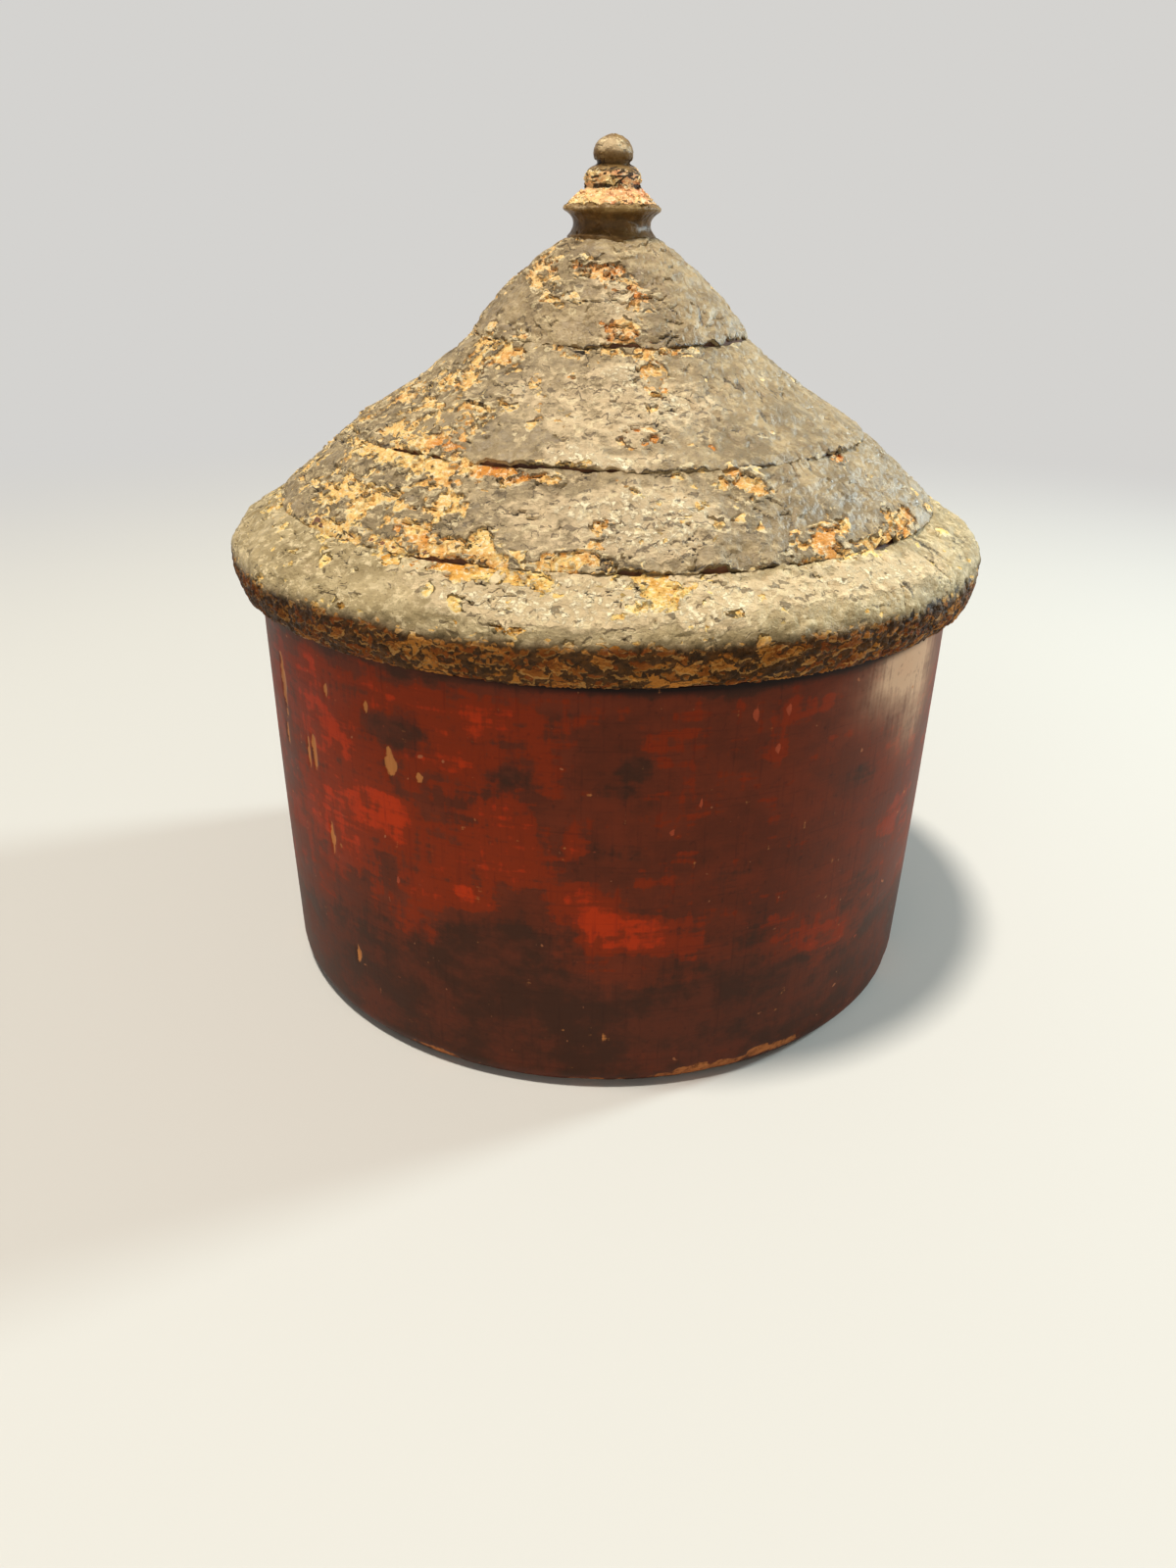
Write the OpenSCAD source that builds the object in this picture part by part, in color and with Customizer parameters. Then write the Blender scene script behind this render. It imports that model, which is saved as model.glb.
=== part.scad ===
// Turned tikka powder box: a lacquered drum, a tiered conical lid that lifts off, and a turned finial.
// Every wooden piece is turned about Z. Lac covers the drum. A crust of ground and paint covers the
// lid and the finial. It has split along the step at the foot of each tier, and its top layer has come
// away in patches.
// Millimetres, +Z up, origin at the middle of the foot.

/* [Drum] */
// Outside diameter at the shoulder, over the lacquer
body_d = 187; // [170:1:230]
// Outside diameter at the foot, over the lacquer
foot_d = 184; // [160:1:230]
// Height from the foot to the shoulder that the lid sits on
body_h = 108.5; // [80:0.5:160]
// Swell of the wall between foot and shoulder
wall_swell = 0.4; // [0:0.1:4]
// Thickness of the wall at the foot, lacquer included
wall = 10; // [6:0.5:14]
// Thickness of the floor
floor_t = 12; // [6:0.5:20]
// Rounding of the foot's outer edge
foot_round = 5; // [3:0.5:8]
// Rounding inside, where the wall meets the floor
hollow_round = 16; // [4:1:25]
// Width of the eased edges of the shoulder and the neck
edge_ease = 0.8; // [0.4:0.1:1.5]

/* [Neck] */
// Width of the shoulder outside the neck
shoulder_w = 5; // [3.5:0.5:8]
// Thickness of the neck
neck_t = 5; // [3:0.5:8]
// Height of the neck above the shoulder
neck_h = 10; // [6:0.5:14]
// Gap between the neck and the bore of the lid
neck_gap = 0.8; // [0.4:0.1:1.5]
// Gap between the top of the neck and the lid
neck_top_gap = 1; // [0.5:0.1:2]

/* [Lid rim] */
// How far the rim stands out past the drum
rim_overhang = 6.5; // [5:0.5:12]
// How far the rim's lower edge stands out past the drum
lip_overhang = 2.7; // [1.5:0.1:4]
// Height of the rim's rounded side, from the lower edge to the widest point
rim_side_h = 9.8; // [6:0.2:14]
// Radius of the rim's upper edge
rim_round = 8; // [4:0.5:10]
// Slope of the rim's upper face, in degrees
rim_slope = 30; // [20:1:40]
// Width of the rim from its widest point to the first step, seen from above
rim_face_w = 13.5; // [11:0.5:18]

/* [Lid tiers] */
// Height of each step, and width of the crack along it
step_h = 0.9; // [0.5:0.1:2]
// Height of the lower tier
lower_tier_h = 16.2; // [10:0.2:24]
// Swell of the lower tier's face
lower_tier_swell = 0.3; // [0:0.1:2]
// Diameter of the step between the tiers
mid_step_d = 134; // [110:1:150]
// Height of the upper tier
upper_tier_h = 21.2; // [14:0.2:30]
// Hollow of the upper tier's face
upper_tier_sag = 1.2; // [0:0.1:3]
// Diameter of the crown's lower edge
crown_d = 71; // [50:1:90]
// Height of the crown
crown_h = 21.4; // [14:0.2:28]
// Swell of the crown's face
crown_swell = 1.6; // [0:0.1:3]
// Width of the flat round the finial's foot
crown_flat = 0.6; // [0.3:0.1:2]
// Thickness of the lid's wall, crust included
lid_wall = 9; // [6:0.5:11]
// Wood left under the finial's mortise
crown_web = 6; // [3:0.5:10]

/* [Finial] */
// Diameter of the foot
finial_foot_d = 22.4; // [18:0.2:30]
// Height of the plain band at the foot
foot_band_h = 1.6; // [0.8:0.1:3]
// Depth of the hollow between the foot and the collar
waist_sag = 1.9; // [0.5:0.1:3]
// Height of that hollow
waist_h = 5.4; // [4:0.1:9]
// Diameter of the collar
collar_d = 24; // [20:0.2:30]
// Height of the collar's rounded edge
collar_edge_h = 1.2; // [0.8:0.1:2]
// Swell of the collar's rounded edge
collar_edge_swell = 0.3; // [0.1:0.1:0.5]
// Height of the slope above the collar
collar_slope_h = 4.4; // [3:0.1:7]
// Diameter at the foot of the bead
bead_foot_d = 13.8; // [11:0.2:16]
// Height of the bead
bead_h = 5.1; // [3.5:0.1:8]
// Swell of the bead
bead_swell = 1.5; // [0.6:0.1:2]
// Diameter of the neck under the ball
ball_neck_d = 8.8; // [7:0.2:9.4]
// Diameter of the ball
ball_d = 10; // [9.2:0.2:14]
// Height of the ball above its neck
ball_h = 6.3; // [4:0.1:9]
// Diameter of the tenon
tenon_d = 11; // [8:0.5:14]
// Length of the tenon
tenon_len = 18; // [10:0.5:24]
// Room left for glue below the tenon
tenon_end_gap = 0.6; // [0.2:0.1:2]

/* [Coats] */
// Thickness of the lacquer on the drum
lacquer_t = 0.6; // [0.3:0.1:1]
// Thickness of the ground and paint on the lid
crust_t = 1.4; // [0.8:0.1:1.8]
// Thickness of the ground and paint on the finial
finial_crust_t = 0.6; // [0.3:0.1:0.9]
// Bond line between a coat and its wood, and glue line round the tenon
bond = 0.05; // [0.02:0.01:0.1]

/* [Bare patches] */
// Depth of the patches where the top of the lid's crust has come away
patch_depth = 0.7; // [0.3:0.1:0.7]
// How uneven their edges are, as a share of their size
patch_jag = 0.25; // [0:0.01:0.35]

/* [Hidden] */
$fn = 96;
// Straight stretches in one curve of an outline
curve_steps = 12;
// How far a cut reaches past the face that it opens
overcut = 1;
// Corners on the edge of a bare patch, and degrees from one to the next in the wave that makes it uneven
patch_corners = 13;
patch_wave = 151;
// Share of a band's height each way over which the slope under a patch is measured
slope_reach = 0.02;

wood_colour = "#8a5a34";
lacquer_colour = "#5c2218";
crust_colour = "#8d8166";
knob_colour = "#6e5330";

// Drum and neck
body_r = body_d / 2;
foot_r = foot_d / 2;
hollow_foot_r = foot_r - wall;
hollow_corner = [hollow_foot_r - hollow_round, floor_t + hollow_round];
neck_r = body_r - shoulder_w;
mouth_r = neck_r - neck_t;
neck_top_z = body_h + neck_h;
// Angle round the foot's edge where the lacquer starts, just clear of the ground
lacquer_start = -75;

// Bore of the lid, over the neck
bore_r = neck_r + neck_gap;
bore_top_z = neck_top_z + neck_top_gap;

// Rim, from its lower edge up to the first step
lip_r = body_r + lip_overhang;
lip_z = body_h + bond;
rim_r = body_r + rim_overhang;
rim_widest_z = lip_z + rim_side_h;
rim_turn = 90 - rim_slope;
rim_top_r = rim_r - rim_round * (1 - cos(rim_turn));
rim_top_z = rim_widest_z + rim_round * sin(rim_turn);
rim_step_r = rim_r - rim_face_w;
rim_step_z = rim_top_z + (rim_top_r - rim_step_r) * tan(rim_slope);

// Tiers, each one step above the one below
mid_step_r = mid_step_d / 2;
crown_r = crown_d / 2;
lower_tier_z = rim_step_z + step_h;
mid_step_z = lower_tier_z + lower_tier_h;
upper_tier_z = mid_step_z + step_h;
crown_step_z = upper_tier_z + upper_tier_h;
crown_z = crown_step_z + step_h;
crown_top_z = crown_z + crown_h;

// Finial, seated on the lid's wood inside the crust
finial_foot_r = finial_foot_d / 2;
crown_top_r = finial_foot_r + crown_flat;
finial_z = crown_top_z - crust_t - bond;
waist_z = finial_z + foot_band_h;
collar_z = waist_z + waist_h;
collar_r = collar_d / 2;
slope_z = collar_z + collar_edge_h;
bead_z = slope_z + collar_slope_h;
bead_foot_r = bead_foot_d / 2;
ball_z = bead_z + bead_h;
ball_neck_r = ball_neck_d / 2;
ball_r = ball_d / 2;
// The ball's curve starts this far below its widest point, in degrees
ball_turn = acos(ball_neck_r / ball_r);
ball_half_h = ball_h / (1 + sin(ball_turn));
tenon_r = tenon_d / 2;
tenon_z = finial_z - tenon_len;
mortise_r = tenon_r + bond;
mortise_z = tenon_z - tenon_end_gap;

// Points from a to b that bow out by rise in the middle, or in if rise is negative; a itself is left out
function bow(a, b, rise) =
    let (along = b - a)
    [for (i = [1 : curve_steps])
        let (t = i / curve_steps)
        a + along * t + 4 * rise * t * (1 - t) * outward(a, b)];

// Points on an ellipse round centre, with half axes in size, from one angle to another
function arc(centre, size, from, to) =
    [for (i = [0 : curve_steps])
        let (angle = from + (to - from) * i / curve_steps)
        centre + [size[0] * cos(angle), size[1] * sin(angle)]];

// Normal of the stretch from a to b, away from the axis on a path that climbs
function outward(a, b) = [b[1] - a[1], a[0] - b[0]] / norm(b - a);

// The path moved in by depth, square to its surface, and kept on its own side of the axis
function inset(path, depth) =
    [for (i = [0 : len(path) - 1])
        let (last = len(path) - 1)
        let (before = outward(path[max(i, 1) - 1], path[max(i, 1)]))
        let (after = outward(path[min(i, last - 1)], path[min(i, last - 1) + 1]))
        let (moved = path[i] - depth * (before + after) / (1 + before * after))
        [max(moved[0], 0), moved[1]]];

// The path without its first point, where it goes on from another path's end
function onward(path) = [for (i = [1 : len(path) - 1]) path[i]];

function reversed(path) = [for (i = [len(path) - 1 : -1 : 0]) path[i]];

// Outer surface of the lacquer: round the foot's edge, then up the wall
body_skin = concat(
    arc([foot_r - foot_round, foot_round], [foot_round, foot_round], lacquer_start, 0),
    bow([foot_r, foot_round], [body_r, body_h - edge_ease], wall_swell));

// Outer surface of the lid's crust, in four bands with a crack between each and the next
rim_skin = concat(
    arc([lip_r, rim_widest_z], [rim_r - lip_r, rim_side_h], -90, 0),
    onward(arc([rim_r - rim_round, rim_widest_z], [rim_round, rim_round], 0, rim_turn)),
    [[rim_step_r, rim_step_z]]);
lower_tier_skin = concat(
    [[rim_step_r, lower_tier_z]],
    bow([rim_step_r, lower_tier_z], [mid_step_r, mid_step_z], lower_tier_swell));
upper_tier_skin = concat(
    [[mid_step_r, upper_tier_z]],
    bow([mid_step_r, upper_tier_z], [crown_r, crown_step_z], -upper_tier_sag));
crown_skin = concat(
    [[crown_r, crown_z]],
    bow([crown_r, crown_z], [crown_top_r, crown_top_z], crown_swell),
    [[finial_foot_r + bond, crown_top_z]]);
lid_bands = [rim_skin, lower_tier_skin, upper_tier_skin, crown_skin];
lid_skin = [for (band = lid_bands) for (point = band) point];

// Main bare patches on each band: degrees round from the front, how far up the band from 0 to 1, width,
// and length up the slope
rim_patches = [
    [-50, 0.84, 9, 4], [-20, 0.96, 16, 5], [-10, 0.82, 10, 4], [6, 0.9, 15, 6], [17, 0.7, 7, 4],
    [44, 0.96, 26, 5], [102, 0.86, 24, 6], [150, 0.8, 22, 6], [-102, 0.85, 26, 6], [-148, 0.84, 22, 6]];
lower_tier_patches = [
    [-61, 0.88, 20, 5], [-41, 0.94, 16, 5], [-29, 0.8, 8, 9], [-11, 0.93, 14, 4], [-58, 0.38, 24, 8],
    [-27, 0.5, 10, 8], [-30, 0.2, 10, 6], [-1, 0.3, 6, 9], [26, 0.8, 7, 8], [35, 0.18, 10, 7],
    [57, 0.1, 14, 6], [122, 0.3, 22, 8], [165, 0.65, 18, 8], [-97, 0.62, 20, 9], [-135, 0.35, 20, 8]];
upper_tier_patches = [
    [-36, 0.82, 9, 6], [14, 0.76, 5, 13], [-40, 0.18, 14, 9], [-47, 0.52, 12, 10], [-18, 0.34, 6, 6],
    [9, 0.2, 8, 6], [41, 0.22, 6, 6], [-75, 0.34, 12, 12], [106, 0.4, 14, 11], [142, 0.26, 16, 10],
    [180, 0.5, 12, 12], [-112, 0.26, 16, 10], [-150, 0.45, 14, 11]];
crown_patches = [
    [-51, 0.66, 12, 8], [15, 0.9, 6, 5], [-2, 0.64, 9, 8], [9, 0.14, 8, 5],
    [106, 0.52, 10, 8], [160, 0.3, 11, 8], [-120, 0.34, 12, 8], [-165, 0.68, 8, 7]];
lid_patches = [rim_patches, lower_tier_patches, upper_tier_patches, crown_patches];

// The point of a band's outline at this share of its height
function on_band(band, share) =
    let (z = band[0][1] + share * (band[len(band) - 1][1] - band[0][1]))
    [lookup(z, [for (point = band) [point[1], point[0]]]), z];

// Uneven outline of a patch, with its length along X and its width along Y
function ragged(width, length, start) =
    [for (i = [0 : patch_corners - 1])
        let (angle = 360 * i / patch_corners)
        let (reach = 1 + patch_jag * sin(start + patch_wave * i))
        reach / 2 * [length * cos(angle), width * sin(angle)]];

// Outer surface of the finial's crust: foot, waist, collar, bead and ball
finial_skin = concat(
    [[finial_foot_r, finial_z], [finial_foot_r, waist_z]],
    bow([finial_foot_r, waist_z], [collar_r, collar_z], -waist_sag),
    bow([collar_r, collar_z], [collar_r, slope_z], collar_edge_swell),
    [[bead_foot_r, bead_z]],
    bow([bead_foot_r, bead_z], [ball_neck_r, ball_z], bead_swell),
    onward(arc([0, ball_z + ball_half_h * sin(ball_turn)], [ball_r, ball_half_h], -ball_turn, 90)));

// Underside of the lid's wall: each step of the lid, lowered so that the wall keeps its thickness
steps = [
    [rim_step_r, rim_step_z],
    [mid_step_r, mid_step_z],
    [crown_r, crown_step_z],
    [crown_top_r, crown_top_z]];
function wall_drop(a, b) = lid_wall * norm(b - a) / abs(b[0] - a[0]);
hollow_line = [for (i = [0 : len(steps) - 1])
    steps[i] - [0, wall_drop(steps[max(i, 1) - 1], steps[max(i, 1)])]];
ceiling_z = mortise_z - crown_web;
ceiling_r = lookup(ceiling_z, [for (p = hollow_line) [p[1], p[0]]]);

// A solid turned from its outline, given as [radius, height] points
module turned(outline) {
    rotate_extrude()
        polygon(outline);
}

// A plug as deep as the bare patches, square to the band that it is cut from
module patch_plug(band, patch) {
    turn = patch[0] - 90;
    share = patch[1];
    width = patch[2];
    length = patch[3];
    middle = on_band(band, share);
    normal = outward(on_band(band, share - slope_reach), on_band(band, share + slope_reach));
    reach = width * width / middle[0] + 2 * crust_t;
    rotate([0, 0, turn])
        translate([middle[0], 0, middle[1]])
            rotate([0, atan2(normal[0], normal[1]), 0])
                linear_extrude(2 * reach, center = true)
                    polygon(ragged(width, length, patch_wave * turn));
}

// One band of the lid's crust, as thick as the crust but for its bare patches
module lid_band(number) {
    band = lid_bands[number];
    start = len([for (i = [0 : 1 : number - 1]) for (point = lid_bands[i]) point]);
    underside = inset(lid_skin, crust_t);
    color(crust_colour)
        difference() {
            turned(concat(band, reversed([for (i = [0 : len(band) - 1]) underside[start + i]])));
            intersection() {
                turned(concat(inset(band, -overcut), reversed(inset(band, patch_depth))));
                for (patch = lid_patches[number])
                    patch_plug(band, patch);
            }
        }
}

// Hollow wooden drum: flat floor, wall, shoulder and neck
module body() {
    wood = inset(body_skin, lacquer_t + bond);
    wood_foot_r = wood[0][0];
    wood_top_r = wood[len(wood) - 1][0];
    color(wood_colour)
        difference() {
            turned(concat(
                [[0, 0], [wood_foot_r, 0]],
                wood,
                [[wood_top_r - edge_ease, body_h], [neck_r, body_h]],
                [[neck_r, neck_top_z - edge_ease], [neck_r - edge_ease, neck_top_z], [0, neck_top_z]]));
            turned(concat(
                [[0, floor_t]],
                arc(hollow_corner, [hollow_round, hollow_round], -90, 0),
                [[mouth_r, body_h], [mouth_r, neck_top_z + overcut], [0, neck_top_z + overcut]]));
        }
}

// Lac on the outside of the drum, from just above the ground to the shoulder
module body_lacquer() {
    color(lacquer_colour)
        turned(concat(body_skin, reversed(inset(body_skin, lacquer_t))));
}

// Hollow wooden lid: seat, bore for the neck, hollow cone and mortise for the finial
module lid() {
    wood = inset(lid_skin, crust_t + bond);
    color(wood_colour)
        difference() {
            turned(concat([[0, body_h], [lip_r - crust_t, body_h]], wood, [[0, finial_z]]));
            translate([0, 0, body_h - overcut])
                cylinder(r = bore_r, h = bore_top_z - body_h + overcut);
            turned(concat(
                [[0, body_h], [min(hollow_line[0][0], bore_r), body_h]],
                [for (p = hollow_line) if (p[1] < ceiling_z) [min(p[0], bore_r), p[1]]],
                [[ceiling_r, ceiling_z], [0, ceiling_z]]));
            translate([0, 0, mortise_z])
                cylinder(r = mortise_r, h = finial_z - mortise_z + overcut);
        }
}

// Crust on the rim, from its lower edge to the first step
module rim_crust() { lid_band(0); }

// Crust on the lower tier
module lower_tier_crust() { lid_band(1); }

// Crust on the upper tier
module upper_tier_crust() { lid_band(2); }

// Crust on the crown, up to the finial's foot
module crown_crust() { lid_band(3); }

// Turned wooden knob with a tenon that is glued into the crown
module finial() {
    color(wood_colour)
        turned(concat(
            [[0, tenon_z], [tenon_r, tenon_z], [tenon_r, finial_z]],
            inset(finial_skin, finial_crust_t + bond)));
}

// Crust on the knob, from its foot to the top of the ball
module finial_crust() {
    color(knob_colour)
        turned(concat(finial_skin, reversed(inset(finial_skin, finial_crust_t))));
}

body();
body_lacquer();
lid();
rim_crust();
lower_tier_crust();
upper_tier_crust();
crown_crust();
finial();
finial_crust();
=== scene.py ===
# Tikka box: a turned wooden drum in worn red lacquer, under a lid and knob in thick flaking paint.
import math

import bpy
import numpy as np
from mathutils import Matrix, Vector, noise


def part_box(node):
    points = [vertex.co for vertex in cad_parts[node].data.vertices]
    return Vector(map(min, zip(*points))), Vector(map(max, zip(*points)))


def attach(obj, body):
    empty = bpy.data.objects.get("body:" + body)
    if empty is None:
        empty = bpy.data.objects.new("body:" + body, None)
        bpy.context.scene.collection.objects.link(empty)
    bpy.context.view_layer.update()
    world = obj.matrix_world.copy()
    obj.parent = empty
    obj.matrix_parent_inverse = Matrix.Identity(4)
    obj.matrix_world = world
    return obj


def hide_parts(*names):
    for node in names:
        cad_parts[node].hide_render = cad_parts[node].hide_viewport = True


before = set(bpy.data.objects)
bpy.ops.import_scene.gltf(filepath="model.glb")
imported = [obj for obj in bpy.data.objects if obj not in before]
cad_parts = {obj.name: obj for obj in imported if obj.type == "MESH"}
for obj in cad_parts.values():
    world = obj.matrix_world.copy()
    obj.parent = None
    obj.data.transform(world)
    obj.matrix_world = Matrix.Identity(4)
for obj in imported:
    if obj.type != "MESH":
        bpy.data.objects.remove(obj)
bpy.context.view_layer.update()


# Drum: one block of wood turned hollow, with a neck for the lid. Only its inside, neck and shoulder and the
# worn edge of its foot are bare. The modelled piece is kept and only its finish is made here.
mm = 0.001


def colour(red, green, blue):
    """A colour as it looks on screen, 0 to 255, as the shader's linear numbers."""
    parts = [((part / 255 + 0.055) / 1.055) ** 2.4 for part in (red, green, blue)]
    return (*parts, 1.0)


def add(tree, kind, values=None, **settings):
    """A new shader node with these settings. A socket in values is linked to the input of that name, and
    anything else is set on it."""
    made = tree.nodes.new("ShaderNode" + kind)
    for key, value in settings.items():
        setattr(made, key, value)
    for key, value in (values or {}).items():
        if isinstance(value, bpy.types.NodeSocket):
            tree.links.new(value, made.inputs[key])
        else:
            made.inputs[key].default_value = value
    return made


def mix(tree, amount, first, second):
    """The first colour where amount is 0 and the second where it is 1."""
    return add(tree, "Mix", {0: amount, 6: first, 7: second}, data_type="RGBA").outputs[2]


def ease(tree, value, low, high):
    """0 below low, 1 above high and smooth between."""
    values = {"Value": value, "From Min": low, "From Max": high}
    return add(tree, "MapRange", values, interpolation_type="SMOOTHSTEP").outputs["Result"]


def sums(tree, kind, first, second):
    """One step of arithmetic on two masks or numbers."""
    return add(tree, "Math", {0: first, 1: second}, operation=kind).outputs[0]


def plus(tree, first, second):
    return sums(tree, "ADD", first, second)


def minus(tree, first, second):
    return sums(tree, "SUBTRACT", first, second)


def times(tree, first, second):
    return sums(tree, "MULTIPLY", first, second)


def grain(tree, where, scale, detail=3.0, rough=0.55):
    """Noise from 0 to 1 whose blotches are 1 / scale metres wide along each axis."""
    stretched = add(tree, "VectorMath", {0: where, 1: scale}, operation="MULTIPLY").outputs[0]
    values = {"Vector": stretched, "Scale": 1.0, "Detail": detail, "Roughness": rough}
    return add(tree, "TexNoise", values).outputs["Fac"]


def effect(name, inputs, outputs):
    """An empty node group with these sockets. Returns its tree, its input node and its output node."""
    tree = bpy.data.node_groups.new(name, "ShaderNodeTree")
    for way, sockets in (("INPUT", inputs), ("OUTPUT", outputs)):
        for label, kind in sockets.items():
            tree.interface.new_socket(label, in_out=way, socket_type="NodeSocket" + kind)
    return tree, tree.nodes.new("NodeGroupInput"), tree.nodes.new("NodeGroupOutput")


def material(name):
    """A new material with only its output node. Returns the material and its tree."""
    made = bpy.data.materials.new(name)
    made.use_nodes = True
    tree = made.node_tree
    tree.nodes.remove(tree.nodes["Principled BSDF"])
    return made, tree


def surface(tree, shader, height, depth):
    """Sends the shader to the material's output, with fine relief of that depth from the height mask."""
    bump = add(tree, "Bump", {"Height": height, "Distance": depth, "Strength": 1.0})
    tree.links.new(bump.outputs["Normal"], shader.inputs["Normal"])
    tree.links.new(shader.outputs["BSDF"], tree.nodes["Material Output"].inputs["Surface"])


def turned_wood():
    """Shared effect: old turned wood, with grain up the piece and fine rings from the tool."""
    tones = {"Pale": "Color", "Dark": "Color"}
    finish = {"Colour": "Color", "Roughness": "Float", "Height": "Float"}
    tree, ins, outs = effect("turned wood", tones, finish)
    where = add(tree, "TexCoord").outputs["Object"]
    fibres = grain(tree, where, (700, 700, 26), 4.0)
    streaks = grain(tree, where, (120, 120, 9), 3.0)
    rings = grain(tree, where, (9, 9, 900), 2.0)
    stain = grain(tree, where, (34, 34, 34), 4.0)
    pores = ease(tree, grain(tree, where, (2400, 2400, 90), 2.0), 0.62, 0.72)
    shade = plus(tree, times(tree, fibres, 0.45), times(tree, streaks, 0.75))
    tone = mix(tree, ease(tree, shade, 0.38, 0.84), ins.outputs["Dark"], ins.outputs["Pale"])
    tone = mix(tree, times(tree, ease(tree, stain, 0.5, 0.72), 0.55), tone, ins.outputs["Dark"])
    tone = mix(tree, times(tree, pores, 0.6), tone, colour(38, 22, 14))
    tree.links.new(tone, outs.inputs["Colour"])
    tree.links.new(plus(tree, times(tree, stain, 0.25), 0.5), outs.inputs["Roughness"])
    height = plus(tree, times(tree, rings, 0.8), times(tree, fibres, 0.3))
    tree.links.new(minus(tree, height, times(tree, pores, 0.3)), outs.inputs["Height"])
    return tree


def bare_wood(name, pale, dark):
    """A material of bare wood between these two tones."""
    made, tree = material(name)
    wood = add(tree, "Group", {"Pale": pale, "Dark": dark}, node_tree=wood_effect).outputs
    shader = add(tree, "BsdfPrincipled", {"Base Color": wood["Colour"], "Roughness": wood["Roughness"]})
    surface(tree, shader, wood["Height"], 0.12 * mm)
    return made


def finish_node(name, finish):
    """Gives a modelled piece a new finish."""
    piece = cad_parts[name]
    piece.data.materials.clear()
    piece.data.materials.append(finish)


wood_effect = turned_wood()
finish_node("body", bare_wood("drum wood", colour(158, 104, 62), colour(84, 48, 28)))


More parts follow.
